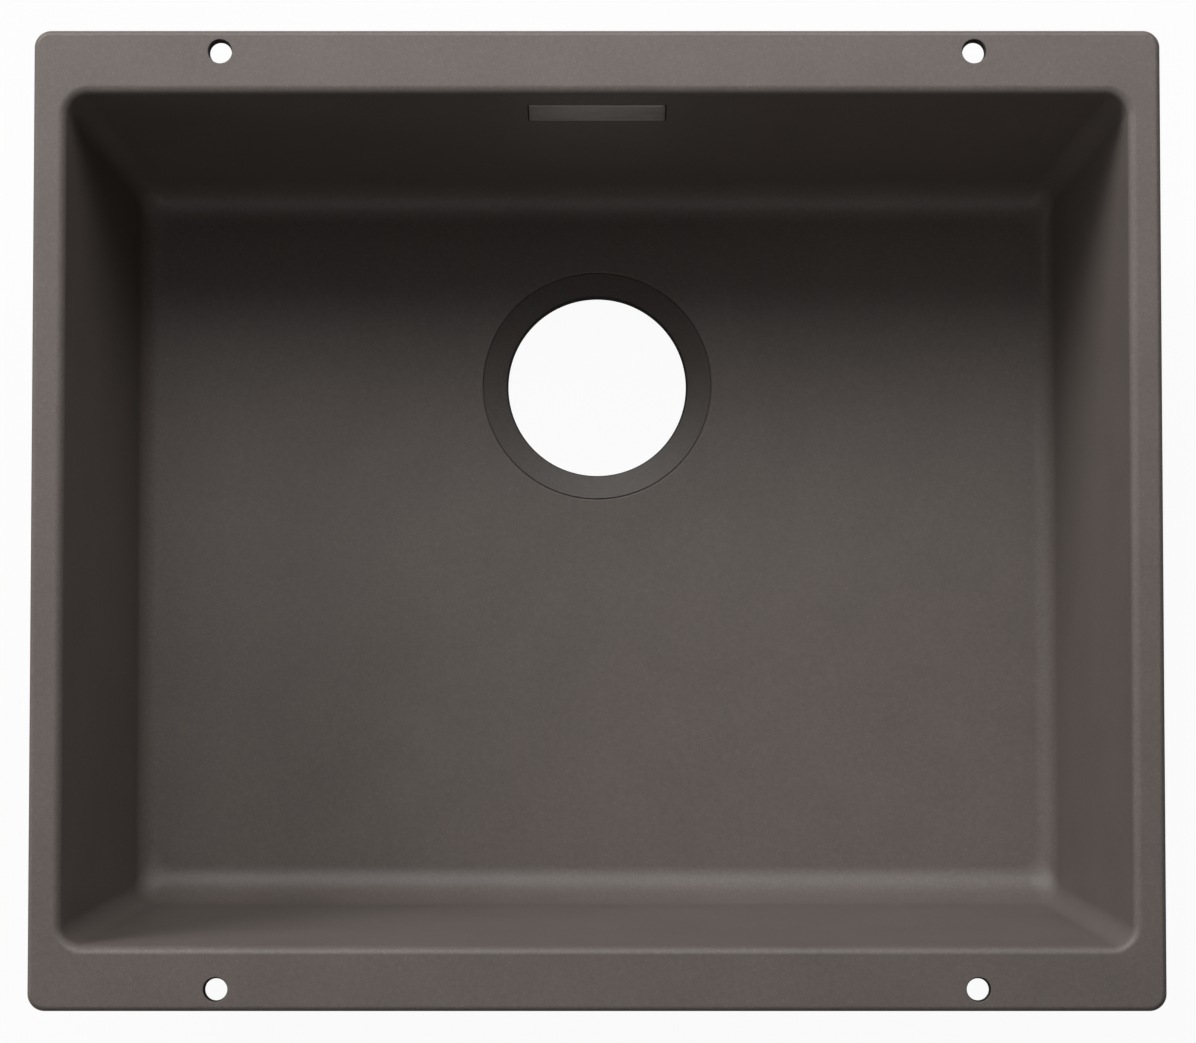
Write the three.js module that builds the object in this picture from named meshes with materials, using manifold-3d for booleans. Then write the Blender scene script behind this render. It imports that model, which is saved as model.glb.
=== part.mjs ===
// Undermount kitchen sink: one moulded composite bowl, with an overflow set through its back wall.
// Millimetres, +Z up, +Y towards the back wall. The origin is the centre of the rim's plan, at the
// level of the underside.
import * as THREE from 'three';
import { mergeVertices } from 'three/addons/utils/BufferGeometryUtils.js';
import Module from 'manifold-3d';

const wasm = await Module();
wasm.setup();

// Rim
const rimSideWidth = 15;
const rimEndWidth = 30;
const rimThickness = 8;
const rimCornerRadius = 8;
const rimTopRoll = 2.5;
const rimBottomRoll = 1;

// Bowl, measured inside, at the line where its walls would meet the rim's top
const openingLength = 500;
const openingDepth = 400;
const openingCornerRadius = 10;
const openingRoll = 4.5;
const bowlDepth = 190;
const draftAngle = THREE.MathUtils.degToRad(6);
const sideFillet = 11;
const endFillet = 20;

// Shell
const wallThickness = 9;
const floorThickness = 12;
const underRimFillet = 5;

// Fixing holes in the rim, drafted as moulded, and their distances from its outer edges
const fixingHoleFromSide = 87.5;
const fixingHoleFromEnd = 10;
const fixingHoleTopRadius = 5.65;
const fixingHoleBottomRadius = 5.1;

// Drain
const drainFromBack = 120;
const drainRadius = 45;
const drainSeatWidth = 12.5;
const drainSeatDepth = 1.5;
const nutSeatWidth = 16;
const nutSeatDepth = 1;

// Overflow cover, and the pocket that it sits in
const overflowDepth = 36;
const coverLength = 65;
const coverHeight = 28;
const coverThickness = 1.2;
const coverCornerRadius = 1;
const coverProud = 0.4;
const pocketSideGap = 1;
const pocketInletGap = 2.5;
const pocketDepth = 6;

// Frame behind the cover, and the throat through the wall
const frameInset = 0.5;
const frameThickness = 1.4;
const frameCornerRadius = 2;
const ledgeWidth = 3;
const windowSideBar = 12;
const windowEdgeBar = 5.5;

// Screws and threaded inserts
const screwFromThroatEnd = 4;
const screwRadius = 2;
const screwHeadRadius = 3.8;
const screwHeadHeight = 2;
const screwHeadSide = 0.8;
const screwCrossWidth = 0.9;
const screwCrossLength = 4.4;
const screwCrossDepth = 1.2;
const screwPastInsert = 0.5;
const insertRadius = 3.5;
const insertLength = 8;
const insertSetBack = 1;

// Spring clips on the cover
const clipSpacing = 20;
const clipWidth = 6;
const clipSheet = 0.6;
const clipBendRadius = 1.2;
const clipReach = 3.3;

// Gasket and housing behind the wall
const padProud = 1;
const padMargin = 3;
const sealWidth = 6;
const gasketThickness = 1.7;
const gasketInset = 1;
const gasketWindowGap = 0.5;
const flangeThickness = 2.5;
const flangeCornerRadius = 5;
const housingDepth = 19;
const housingWall = 2;
const housingDrop = 6;
const bossRadius = 5;
const bossOverlap = 1;
const bossFloor = 2;
const outletRadius = 9;
const outletBoreRadius = 7;
const outletLength = 24;
const barbCount = 3;
const barbHeight = 0.8;
const barbPitch = 5;

// Clearance between pieces that touch, and how far a cutter runs past a face
const fitGap = 0.3;
const overcut = 2;

// How finely round stretches are divided
const cornerDivisions = 3;
const filletSteps = 6;
const rollSteps = 4;
const drainSegments = 64;
const holeSegments = 32;

// Levels and lines that follow from these sizes
const rimLength = openingLength + 2 * rimSideWidth;
const rimDepth = openingDepth + 2 * rimEndWidth;
const fixingHoleX = rimLength / 2 - fixingHoleFromSide;
const fixingHoleY = rimDepth / 2 - fixingHoleFromEnd;
const rimTop = floorThickness + bowlDepth;
const rimBottom = rimTop - rimThickness;
const drainY = openingDepth / 2 - drainFromBack;
const wallOffset = wallThickness / Math.cos(draftAngle);

// The overflow's own frame: origin on the wall's inner face, +Y through the wall to the back and
// +Z up along the wall. These are places along its Y, and half sizes along its X and Z.
const coverRear = coverThickness - coverProud;
const frameRear = pocketDepth - fitGap;
const frameFront = frameRear - frameThickness;
const padRear = wallThickness + padProud;
const gasketFront = padRear + fitGap;
const gasketRear = gasketFront + gasketThickness;
const flangeFront = gasketRear + fitGap;
const flangeRear = flangeFront + flangeThickness;
const housingRear = flangeFront + housingDepth;
const insertFront = flangeFront + insertSetBack;
const insertRear = insertFront + insertLength;
const screwTip = insertRear + screwPastInsert;
const frameLength = coverLength - 2 * frameInset;
const frameHeight = coverHeight - 2 * frameInset;
const throatLength = frameLength - 2 * ledgeWidth;
const throatHeight = frameHeight - 2 * ledgeWidth;
const screwX = throatLength / 2 - screwFromThroatEnd;
const windowLength = throatLength - 2 * windowSideBar;
const windowHeight = frameHeight - 2 * windowEdgeBar;
const flangeLength = throatLength + 2 * sealWidth;
const flangeHeight = throatHeight + 2 * sealWidth;
const chamberLength = 2 * (screwX - bossRadius + bossOverlap - housingWall);
const chamberTop = throatHeight / 2 - gasketWindowGap;
const housingBottom = -flangeHeight / 2 - housingDrop;
const outletY = (flangeFront + housingRear) / 2;

const overflowPlace = new THREE.Matrix4()
  .makeRotationX(-draftAngle)
  .setPosition(0, openingDepth / 2 - overflowDepth * Math.tan(draftAngle), rimTop - overflowDepth);

// Materials

function finish(color, roughness, metalness) {
  return new THREE.MeshStandardMaterial({ color, roughness, metalness });
}

const composite = finish(0x6b6561, 0.75, 0);
const brushedSteel = finish(0x9a9791, 0.35, 1);
const springSteel = finish(0xb4b2ad, 0.3, 1);
const screwSteel = finish(0xa9a8a4, 0.3, 1);
const sealRubber = finish(0x1c1c1d, 0.85, 0);
const housingPlastic = finish(0x2b2c2e, 0.55, 0);
const insertBrass = finish(0xb8933f, 0.35, 1);

// Solids for joining and cutting

function toSolid(geometry) {
  const bare = geometry.clone();
  bare.deleteAttribute('normal');
  bare.deleteAttribute('uv');
  const merged = mergeVertices(bare, 1e-4);
  const corners = merged.index.array;
  const kept = [];
  for (let i = 0; i < corners.length; i += 3) {
    const [a, b, c] = corners.slice(i, i + 3);
    if (a !== b && b !== c && c !== a) kept.push(a, b, c);
  }
  return new wasm.Manifold(new wasm.Mesh({
    numProp: 3,
    vertProperties: Float32Array.from(merged.attributes.position.array),
    triVerts: Uint32Array.from(kept),
  }));
}

function toGeometry(solid) {
  const mesh = solid.getMesh();
  const geometry = new THREE.BufferGeometry();
  geometry.setAttribute('position', new THREE.BufferAttribute(mesh.vertProperties, 3));
  geometry.setIndex(new THREE.BufferAttribute(mesh.triVerts, 1));
  geometry.computeVertexNormals();
  return geometry;
}

function joined(...geometries) {
  return geometries.map(toSolid).reduce((whole, solid) => whole.add(solid));
}

function piece(name, geometry, material) {
  const mesh = new THREE.Mesh(geometry, material);
  mesh.name = name;
  return mesh;
}

// Outlines and simple forms

function roundedRectangle(length, depth, radius, Outline = THREE.Shape) {
  const x = length / 2 - radius;
  const y = depth / 2 - radius;
  const outline = new Outline();
  outline.absarc(x, y, radius, 0, Math.PI / 2);
  outline.absarc(-x, y, radius, Math.PI / 2, Math.PI);
  outline.absarc(-x, -y, radius, Math.PI, 1.5 * Math.PI);
  outline.absarc(x, -y, radius, 1.5 * Math.PI, 2 * Math.PI);
  return outline;
}

// A plate whose outline lies along X and Z, between two places along Y.
function plate(outline, front, rear) {
  const geometry = new THREE.ExtrudeGeometry(outline, {
    depth: rear - front,
    bevelEnabled: false,
    curveSegments: cornerDivisions,
  });
  return geometry.rotateX(Math.PI / 2).translate(0, rear, 0);
}

function block(length, depth, height, x, y, z) {
  return new THREE.BoxGeometry(length, depth, height).translate(x, y, z);
}

// A round bar along Z, given by the radii at its top and bottom, and its span.
function upright([topRadius, bottomRadius], [bottom, top], x, y, segments) {
  return new THREE.CylinderGeometry(topRadius, bottomRadius, top - bottom, segments)
    .rotateX(Math.PI / 2)
    .translate(x, y, (bottom + top) / 2);
}

// A turned form along Y: each point of its profile is a radius and a place along the axis.
function turnedAlongY(profile, x, segments) {
  const points = profile.map(([radius, y]) => new THREE.Vector2(radius, y));
  return new THREE.LatheGeometry(points, segments).translate(x, 0, 0);
}

function roundBar(radius, front, rear, x) {
  return turnedAlongY([[0, front], [radius, front], [radius, rear], [0, rear]], x, holeSegments);
}

// The drafted, rounded forms of the bowl

// A solid whose section is a rounded rectangle at every height. Each ring gives its height, half
// sizes and corner radius, and the rings of a plain extrusion are moved to them.
function loft(rings) {
  const base = rings[0];
  const outline = roundedRectangle(2 * base.halfLength, 2 * base.halfDepth, base.radius);
  const last = rings.length - 1;
  const geometry = new THREE.ExtrudeGeometry(outline, {
    depth: 1,
    steps: last,
    bevelEnabled: false,
    curveSegments: cornerDivisions,
  });
  const moved = (value, baseHalf, half, radius) => {
    const side = Math.sign(value);
    const fromArcCentre = (value - side * (baseHalf - base.radius)) / base.radius;
    return side * (half - radius) + fromArcCentre * radius;
  };
  const position = geometry.attributes.position;
  for (let i = 0; i < position.count; i++) {
    const ring = rings[Math.round(position.getZ(i) * last)];
    const x = moved(position.getX(i), base.halfLength, ring.halfLength, ring.radius);
    const y = moved(position.getY(i), base.halfDepth, ring.halfDepth, ring.radius);
    position.setXYZ(i, x, y, ring.z);
  }
  return geometry;
}

// How far a drafted wall, rounded into a level bottom, stands in from its line at the rim's top.
function wallInset(z, bottom, round) {
  const tangentHeight = bottom + round * (1 - Math.sin(draftAngle));
  if (z >= tangentHeight) return (rimTop - z) * Math.tan(draftAngle);
  const centreInset = (rimTop - tangentHeight) * Math.tan(draftAngle) + round * Math.cos(draftAngle);
  const belowCentre = round - (z - bottom);
  return centreInset - Math.sqrt(round ** 2 - belowCentre ** 2);
}

// A drafted form with a rounded bottom edge, whose walls curve outwards at the top.
function basin({ offset, bottom, sideRound, endRound, radius, top, flare }) {
  const halfLength = openingLength / 2 + offset;
  const halfDepth = openingDepth / 2 + offset;
  const rings = [];
  for (let i = 0; i <= filletSteps; i++) {
    const turn = (i / filletSteps) * (Math.PI / 2 - draftAngle);
    const z = bottom + Math.max(sideRound, endRound) * (1 - Math.cos(turn));
    rings.push({
      z,
      halfLength: halfLength - wallInset(z, bottom, sideRound),
      halfDepth: halfDepth - wallInset(z, bottom, endRound),
      radius,
    });
  }
  const flareStart = top - flare * (1 - Math.sin(draftAngle));
  const inset = (rimTop - flareStart) * Math.tan(draftAngle);
  for (let i = 0; i <= rollSteps; i++) {
    const turn = draftAngle + (i / rollSteps) * (Math.PI / 2 - draftAngle);
    const outwards = flare * (Math.cos(draftAngle) - Math.cos(turn));
    rings.push({
      z: top - flare * (1 - Math.sin(turn)),
      halfLength: halfLength - inset + outwards,
      halfDepth: halfDepth - inset + outwards,
      radius: radius + outwards,
    });
  }
  rings.push({ ...rings.at(-1), z: top + overcut });
  return loft(rings);
}

function rimSlab() {
  const ring = (z, inset) => ({
    z,
    halfLength: rimLength / 2 - inset,
    halfDepth: rimDepth / 2 - inset,
    radius: rimCornerRadius - inset,
  });
  const rings = [];
  for (let i = 0; i <= rollSteps; i++) {
    const turn = (i / rollSteps) * (Math.PI / 2);
    const z = rimBottom + rimBottomRoll * (1 - Math.cos(turn));
    rings.push(ring(z, rimBottomRoll * (1 - Math.sin(turn))));
  }
  for (let i = 0; i <= rollSteps; i++) {
    const turn = (i / rollSteps) * (Math.PI / 2);
    const z = rimTop - rimTopRoll * (1 - Math.sin(turn));
    rings.push(ring(z, rimTopRoll * (1 - Math.cos(turn))));
  }
  return loft(rings);
}

function fixingHoles() {
  const slope = (fixingHoleTopRadius - fixingHoleBottomRadius) / rimThickness;
  const radii = [fixingHoleTopRadius + slope * overcut, fixingHoleBottomRadius - slope * overcut];
  const span = [rimBottom - overcut, rimTop + overcut];
  const holes = [];
  for (const x of [-fixingHoleX, fixingHoleX]) {
    for (const y of [-fixingHoleY, fixingHoleY]) {
      holes.push(upright(radii, span, x, y, holeSegments));
    }
  }
  return holes;
}

function drainCuts() {
  const cut = (radius, bottom, top) => upright([radius, radius], [bottom, top], 0, drainY, drainSegments);
  return [
    cut(drainRadius, -overcut, floorThickness + overcut),
    cut(drainRadius + drainSeatWidth, floorThickness - drainSeatDepth, floorThickness + overcut),
    cut(drainRadius + nutSeatWidth, -overcut, nutSeatDepth),
  ];
}

function overflowPad() {
  const length = flangeLength + 2 * padMargin;
  const height = flangeHeight + 2 * padMargin;
  const outline = roundedRectangle(length, height, flangeCornerRadius + padMargin);
  return plate(outline, wallThickness / 2, padRear).applyMatrix4(overflowPlace);
}

function overflowCuts() {
  const pocketLength = coverLength + 2 * pocketSideGap;
  const pocketHeight = coverHeight + pocketSideGap + pocketInletGap;
  const pocketOutline = roundedRectangle(pocketLength, pocketHeight, coverCornerRadius);
  const pocket = plate(pocketOutline, -overcut, pocketDepth);
  pocket.translate(0, 0, (pocketSideGap - pocketInletGap) / 2);
  const throatOutline = roundedRectangle(throatLength, throatHeight, frameCornerRadius);
  const throat = plate(throatOutline, 0, padRear + overcut);
  return [pocket, throat].map((geometry) => geometry.applyMatrix4(overflowPlace));
}

function sinkBowl() {
  const shell = basin({
    offset: wallOffset,
    bottom: 0,
    sideRound: sideFillet + wallThickness,
    endRound: endFillet + wallThickness,
    radius: openingCornerRadius + wallThickness,
    top: rimBottom,
    flare: underRimFillet,
  });
  const cavity = basin({
    offset: 0,
    bottom: floorThickness,
    sideRound: sideFillet,
    endRound: endFillet,
    radius: openingCornerRadius,
    top: rimTop,
    flare: openingRoll,
  });
  let solid = joined(rimSlab(), shell, overflowPad());
  for (const cutter of [cavity, ...fixingHoles(), ...drainCuts(), ...overflowCuts()]) {
    solid = solid.subtract(toSolid(cutter));
  }
  return piece('sink_bowl', toGeometry(solid), composite);
}

// The overflow's pieces, in its own frame

function overflowCover() {
  const outline = roundedRectangle(coverLength, coverHeight, coverCornerRadius);
  return piece('overflow_cover', plate(outline, -coverProud, coverRear), brushedSteel);
}

// A U of spring sheet: its base lies on the cover's back, and its legs bear on the frame's window.
function coverClip(name, x) {
  const base = coverRear + fitGap;
  const tip = frameRear + clipReach;
  const half = windowHeight / 2 - fitGap;
  const bend = clipBendRadius;
  const inner = bend - clipSheet;
  const outline = new THREE.Shape();
  outline.moveTo(tip, half);
  outline.lineTo(base + bend, half);
  outline.absarc(base + bend, half - bend, bend, Math.PI / 2, Math.PI);
  outline.lineTo(base, -half + bend);
  outline.absarc(base + bend, -half + bend, bend, Math.PI, 1.5 * Math.PI);
  outline.lineTo(tip, -half);
  outline.lineTo(tip, -half + clipSheet);
  outline.lineTo(base + bend, -half + clipSheet);
  outline.absarc(base + bend, -half + bend, inner, 1.5 * Math.PI, Math.PI, true);
  outline.lineTo(base + clipSheet, half - bend);
  outline.absarc(base + bend, half - bend, inner, Math.PI, Math.PI / 2, true);
  outline.lineTo(tip, half - clipSheet);
  const geometry = new THREE.ExtrudeGeometry(outline, {
    depth: clipWidth,
    bevelEnabled: false,
    curveSegments: cornerDivisions,
  });
  const sheetUpright = new THREE.Matrix4().makeBasis(
    new THREE.Vector3(0, 1, 0),
    new THREE.Vector3(0, 0, 1),
    new THREE.Vector3(1, 0, 0),
  );
  geometry.applyMatrix4(sheetUpright).translate(x - clipWidth / 2, 0, 0);
  return piece(name, geometry, springSteel);
}

function overflowFrame() {
  const outline = roundedRectangle(frameLength, frameHeight, frameCornerRadius);
  outline.holes.push(roundedRectangle(windowLength, windowHeight, frameCornerRadius, THREE.Path));
  let solid = toSolid(plate(outline, frameFront, frameRear));
  for (const x of [-screwX, screwX]) {
    const hole = roundBar(screwRadius + fitGap, frameFront - overcut, frameRear + overcut, x);
    solid = solid.subtract(toSolid(hole));
  }
  return piece('overflow_frame', toGeometry(solid), brushedSteel);
}

function overflowScrew(name, x) {
  const headRear = frameFront - fitGap;
  const headFront = headRear - screwHeadHeight;
  const domeRise = screwHeadHeight - screwHeadSide;
  const profile = [[0, headFront]];
  for (let i = 1; i <= rollSteps; i++) {
    const turn = (i / rollSteps) * (Math.PI / 2);
    profile.push([screwHeadRadius * Math.sin(turn), headFront + domeRise * (1 - Math.cos(turn))]);
  }
  profile.push(
    [screwHeadRadius, headRear],
    [screwRadius, headRear],
    [screwRadius, screwTip - screwRadius / 2],
    [screwRadius / 2, screwTip],
    [0, screwTip],
  );
  let solid = toSolid(turnedAlongY(profile, x, holeSegments));
  for (const [length, height] of [[screwCrossLength, screwCrossWidth], [screwCrossWidth, screwCrossLength]]) {
    solid = solid.subtract(toSolid(block(length, 2 * screwCrossDepth, height, x, headFront, 0)));
  }
  return piece(name, toGeometry(solid), screwSteel);
}

function overflowGasket() {
  const length = flangeLength - 2 * gasketInset;
  const height = flangeHeight - 2 * gasketInset;
  const outline = roundedRectangle(length, height, flangeCornerRadius - gasketInset);
  const openLength = throatLength + 2 * gasketWindowGap;
  const openHeight = throatHeight + 2 * gasketWindowGap;
  outline.holes.push(roundedRectangle(openLength, openHeight, frameCornerRadius, THREE.Path));
  return piece('overflow_gasket', plate(outline, gasketFront, gasketRear), sealRubber);
}

function overflowInsert(name, x) {
  const bore = screwRadius + fitGap;
  const geometry = turnedAlongY([
    [bore, insertFront],
    [insertRadius, insertFront],
    [insertRadius, insertRear],
    [bore, insertRear],
    [bore, insertFront],
  ], x, holeSegments);
  return piece(name, geometry, insertBrass);
}

// The hose outlet: a spigot with barbs, turned about the housing's upright axis.
function outletSpigot() {
  const end = housingBottom - outletLength;
  const points = [new THREE.Vector2(0, end), new THREE.Vector2(outletRadius - barbHeight, end)];
  for (let i = 0; i < barbCount; i++) {
    const barbTop = end + (i + 1) * barbPitch;
    points.push(new THREE.Vector2(outletRadius, barbTop));
    points.push(new THREE.Vector2(outletRadius - barbHeight, barbTop));
  }
  points.push(new THREE.Vector2(outletRadius - barbHeight, housingBottom + housingWall / 2));
  points.push(new THREE.Vector2(0, housingBottom + housingWall / 2));
  return new THREE.LatheGeometry(points, holeSegments).rotateX(Math.PI / 2).translate(0, outletY, 0);
}

function overflowHousing() {
  const boreEnd = screwTip + fitGap;
  const bossFront = flangeFront + flangeThickness / 2;
  const boxLength = chamberLength + 2 * housingWall;
  const boxTop = chamberTop + housingWall;
  const boxMiddle = (boxTop + housingBottom) / 2;
  const flangeOutline = roundedRectangle(flangeLength, flangeHeight, flangeCornerRadius);
  let solid = joined(
    plate(flangeOutline, flangeFront, flangeRear),
    block(boxLength, housingDepth, boxTop - housingBottom, 0, outletY, boxMiddle),
    roundBar(bossRadius, bossFront, boreEnd + bossFloor, -screwX),
    roundBar(bossRadius, bossFront, boreEnd + bossFloor, screwX),
    outletSpigot(),
  );

  const chamberRear = housingRear - housingWall;
  const chamberFloor = housingBottom + housingWall;
  const chamberDepth = chamberRear - flangeRear;
  const chamberY = (chamberRear + flangeRear) / 2;
  const chamberZ = (chamberTop + chamberFloor) / 2;
  const mouthOutline = roundedRectangle(chamberLength, 2 * chamberTop, frameCornerRadius);
  const outletSpan = [housingBottom - outletLength - overcut, chamberFloor + overcut];
  const insertBore = insertRadius + fitGap;
  const cuts = [
    block(chamberLength, chamberDepth, chamberTop - chamberFloor, 0, chamberY, chamberZ),
    plate(mouthOutline, flangeFront - overcut, flangeRear + overcut),
    upright([outletBoreRadius, outletBoreRadius], outletSpan, 0, outletY, holeSegments),
    roundBar(insertBore, flangeFront - overcut, boreEnd, -screwX),
    roundBar(insertBore, flangeFront - overcut, boreEnd, screwX),
  ];
  for (const cutter of cuts) solid = solid.subtract(toSolid(cutter));
  return piece('overflow_housing', toGeometry(solid), housingPlastic);
}

const overflow = new THREE.Group();
overflow.applyMatrix4(overflowPlace);
overflow.add(
  overflowCover(),
  coverClip('cover_clip_left', -clipSpacing / 2),
  coverClip('cover_clip_right', clipSpacing / 2),
  overflowFrame(),
  overflowScrew('overflow_screw_left', -screwX),
  overflowScrew('overflow_screw_right', screwX),
  overflowGasket(),
  overflowHousing(),
  overflowInsert('overflow_insert_left', -screwX),
  overflowInsert('overflow_insert_right', screwX),
);

const sink = new THREE.Group();
sink.name = 'undermount_sink';
sink.add(sinkBowl(), overflow);

export default sink;
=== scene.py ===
# Undermount kitchen sink: the looks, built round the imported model.
import math

import bmesh
import bpy
from mathutils import Matrix, Vector


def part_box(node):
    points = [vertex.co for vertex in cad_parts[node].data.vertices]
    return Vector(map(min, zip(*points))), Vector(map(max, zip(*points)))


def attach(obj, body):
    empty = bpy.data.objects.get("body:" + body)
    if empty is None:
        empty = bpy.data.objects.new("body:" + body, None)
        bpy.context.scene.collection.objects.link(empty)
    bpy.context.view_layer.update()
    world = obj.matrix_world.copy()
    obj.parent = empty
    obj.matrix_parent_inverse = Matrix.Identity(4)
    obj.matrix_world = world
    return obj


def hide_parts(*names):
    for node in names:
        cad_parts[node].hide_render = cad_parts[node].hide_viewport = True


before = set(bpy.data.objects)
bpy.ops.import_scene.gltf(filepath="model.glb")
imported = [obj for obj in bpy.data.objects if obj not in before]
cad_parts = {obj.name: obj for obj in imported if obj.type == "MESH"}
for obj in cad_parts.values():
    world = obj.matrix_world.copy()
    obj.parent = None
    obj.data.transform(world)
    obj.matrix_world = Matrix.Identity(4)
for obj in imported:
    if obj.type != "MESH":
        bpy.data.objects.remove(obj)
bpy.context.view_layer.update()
mm = 0.001
past = 2  # how far a cutter runs past the face that it leaves through
leastRadius = 0.05  # no corner of a plate is sharper than this
mergeDistance = 0.002
print("frame loaded")


# Sizes are in mm, and turn to metres only where Blender takes them

def linkObject(data):
    # puts a mesh, a camera or a lamp into the scene, under its own name
    made = bpy.data.objects.new(data.name, data)
    bpy.context.scene.collection.objects.link(made)
    return made


def meshFrom(name, vertices, faces):
    mesh = bpy.data.meshes.new(name)
    mesh.from_pydata([[place * mm for place in vertex] for vertex in vertices], [], faces)
    mesh.update()
    return mesh


def outwards(mesh):
    # merges doubles, then turns every face outwards
    shape = bmesh.new()
    shape.from_mesh(mesh)
    bmesh.ops.remove_doubles(shape, verts=shape.verts, dist=mergeDistance * mm)
    bmesh.ops.recalc_face_normals(shape, faces=shape.faces)
    shape.to_mesh(mesh)
    shape.free()
    return mesh


def bakeModifiers(piece):
    # the live modifiers become a plain mesh
    graph = bpy.context.evaluated_depsgraph_get()
    mesh = bpy.data.meshes.new_from_object(piece.evaluated_get(graph))
    mesh.name = piece.name
    piece.modifiers.clear()
    piece.data = mesh


def settle(piece, sharpAngle=32, flatWeight=80):
    # smooth shading but for the sharp edges, with flat faces kept flat
    bakeModifiers(piece)
    outwards(piece.data)
    piece.data.shade_smooth()
    piece.data.set_sharp_from_angle(angle=math.radians(sharpAngle))
    weighted = piece.modifiers.new("weighted", "WEIGHTED_NORMAL")
    weighted.keep_sharp = True
    weighted.weight = flatWeight
    bakeModifiers(piece)
    return piece


def boolean(piece, mesh, operation="DIFFERENCE"):
    # cuts a mesh out of a piece, or joins it on
    cutter = linkObject(mesh)
    step = piece.modifiers.new("cut", "BOOLEAN")
    step.operation = operation
    step.solver = "EXACT"
    step.object = cutter
    bakeModifiers(piece)
    bpy.data.objects.remove(cutter)


def sweep(start, end, steps):
    # evenly spaced values from start to end, both included
    return [start + (end - start) * i / steps for i in range(steps + 1)]


def arc(centre, radius, start, end, steps=5):
    # points on an arc, in degrees, as (across, up)
    turns = [math.radians(degrees) for degrees in sweep(start, end, steps)]
    return [(centre[0] + radius * math.cos(turn), centre[1] + radius * math.sin(turn)) for turn in turns]


def cornerPoints(halfLength, halfDepth, radius, steps):
    # a rounded rectangle, anticlockwise from the +X side
    points = []
    for quarter, (sx, sy) in enumerate(((1, 1), (-1, 1), (-1, -1), (1, -1))):
        centre = (sx * (halfLength - radius), sy * (halfDepth - radius))
        points += arc(centre, radius, 90 * quarter, 90 * (quarter + 1), steps)
    return points


def ringedMesh(name, rings, closed=False):
    # rings of equal length joined by quads; the first and last are capped, or joined if closed
    count = len(rings[0])
    faces = []
    for r in range(len(rings) if closed else len(rings) - 1):
        a, b = r * count, (r + 1) % len(rings) * count
        for i in range(count):
            j = (i + 1) % count
            faces.append((a + i, a + j, b + j, b + i))
    if not closed:
        faces.append(tuple(reversed(range(count))))
        faces.append(tuple(range((len(rings) - 1) * count, len(rings) * count)))
    return outwards(meshFrom(name, [point for ring in rings for point in ring], faces))


def turned(name, profile, centre, segments, along="Z"):
    # a form turned round an upright axis, or round Y; its profile of radius and height ends on the axis
    turns = sweep(0, 2 * math.pi, segments)[:-1]
    vertices, faces, rows = [], [], []
    for radius, height in profile:
        row = []
        for turn in turns if radius else turns[:1]:
            across, over = radius * math.cos(turn), radius * math.sin(turn)
            place = (across, over, height) if along == "Z" else (across, height, over)
            row.append(len(vertices))
            vertices.append([c + p for c, p in zip(centre, place)])
        rows.append(row)
    for below, above in zip(rows, rows[1:]):
        for i in range(segments):
            j = (i + 1) % segments
            if len(below) == 1:
                faces.append((below[0], above[i], above[j]))
            elif len(above) == 1:
                faces.append((below[i], above[0], below[j]))
            else:
                faces.append((below[i], below[j], above[j], above[i]))
    return outwards(meshFrom(name, vertices, faces))


def softBox(name, low, high, rounding, steps=4):
    # a block with all its edges rounded
    shape = bmesh.new()
    bmesh.ops.create_cube(shape, size=1)
    low, high = Vector(low) * mm, Vector(high) * mm
    bmesh.ops.scale(shape, vec=high - low, verts=shape.verts)
    bmesh.ops.translate(shape, vec=(low + high) / 2, verts=shape.verts)
    bmesh.ops.bevel(shape, geom=shape.edges[:], offset=rounding * mm, segments=steps, profile=0.5,
                    affect="EDGES")
    mesh = bpy.data.meshes.new(name)
    shape.to_mesh(mesh)
    shape.free()
    return mesh


# The bowl is one moulding: an outer skin, the rim's edge and an inner skin, ring by ring
bowlLook = {
    "openingLength": 500, "openingDepth": 400, "openingRadius": 10, "openingRoll": 4.5,
    "bowlDepth": 190, "draft": 6, "sideFillet": 11, "endFillet": 20,
    "wall": 9, "rimThickness": 8, "rimRadius": 8, "topRoll": 2.5, "bottomRoll": 1,
    "underRimFillet": 5, "cornerSteps": 16, "filletSteps": 14, "rollSteps": 8,
}
bowlLow, bowlHigh = (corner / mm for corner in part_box("sink_bowl"))
rimTop = bowlHigh.z
rimBottom = rimTop - bowlLook["rimThickness"]
floorTop = rimTop - bowlLook["bowlDepth"]
draft = math.radians(bowlLook["draft"])


def wallInset(z, bottom, rounding):
    # how far a drafted wall, rounded into a level bottom, stands in from its line at the rim's top
    tangent = bottom + rounding * (1 - math.sin(draft))
    if z >= tangent:
        return (rimTop - z) * math.tan(draft)
    centreInset = (rimTop - tangent) * math.tan(draft) + rounding * math.cos(draft)
    below = rounding - (z - bottom)
    return centreInset - math.sqrt(max(0, rounding ** 2 - below ** 2))


def basinRings(thickness, bottom, top, flare):
    # a skin so far outside the bowl's inside: up from its bottom and out at its top
    look = bowlLook
    offset, radius = thickness / math.cos(draft), look["openingRadius"] + thickness
    halfLength, halfDepth = look["openingLength"] / 2 + offset, look["openingDepth"] / 2 + offset
    sideRound, endRound = look["sideFillet"] + thickness, look["endFillet"] + thickness
    rings = []
    for turn in sweep(0, math.pi / 2 - draft, look["filletSteps"]):
        z = bottom + max(sideRound, endRound) * (1 - math.cos(turn))
        rings.append((z, halfLength - wallInset(z, bottom, sideRound),
                      halfDepth - wallInset(z, bottom, endRound), radius))
    start = top - flare * (1 - math.sin(draft))
    inset = (rimTop - start) * math.tan(draft)
    for turn in sweep(draft, math.pi / 2, look["rollSteps"]):
        out = flare * (math.cos(draft) - math.cos(turn))
        z = top - flare * (1 - math.sin(turn))
        rings.append((z, halfLength - inset + out, halfDepth - inset + out, radius + out))
    return rings


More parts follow.
